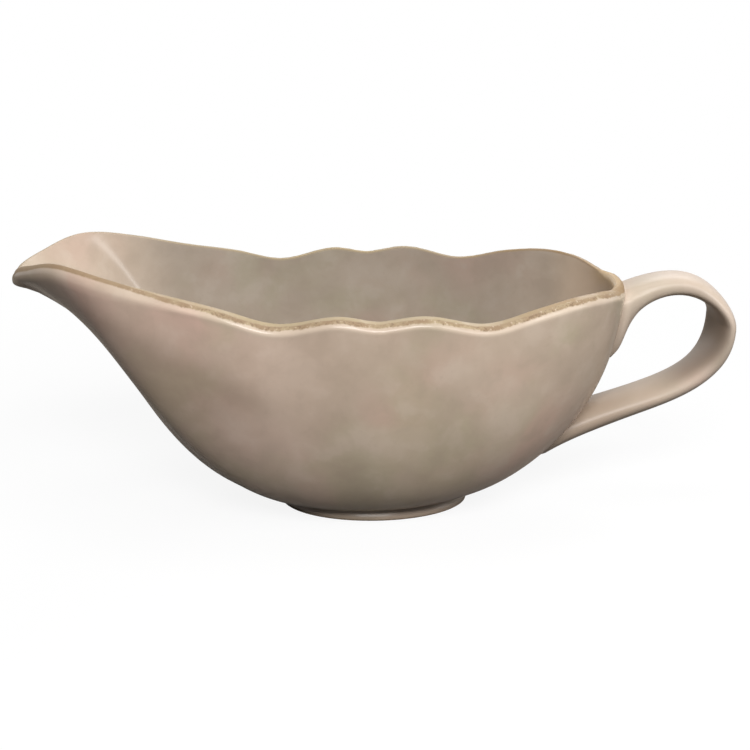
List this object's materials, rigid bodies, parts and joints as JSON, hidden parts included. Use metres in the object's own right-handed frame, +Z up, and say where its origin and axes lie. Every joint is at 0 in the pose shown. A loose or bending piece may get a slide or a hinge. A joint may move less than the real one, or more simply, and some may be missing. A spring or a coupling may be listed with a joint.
{
  "type": "gravy boat",
  "caption": "Glazed stoneware gravy boat: oval bowl with a drawn-out spout and wavy rim, a pulled strap handle at the back, and a low oval foot ring.",
  "frame": {"origin": "on the table under the middle of the part's overall length and width", "axes": "+X towards the handle, -X towards the spout, +Z up"},
  "size_m": [0.251, 0.1008, 0.0939],
  "materials": {
    "bowl_glaze": "warm grey glaze, glossy, softly mottled, worn to brown clay along the rim",
    "handle_glaze": "the bowl's warm grey glaze, glossy",
    "foot_clay": "glazed outside, bare dry clay where it stands"
  },
  "bodies": {
    "root": {"bowl": "bowl_glaze", "handle": "handle_glaze", "foot_ring": "foot_clay"}
  },
  "joints": []
}
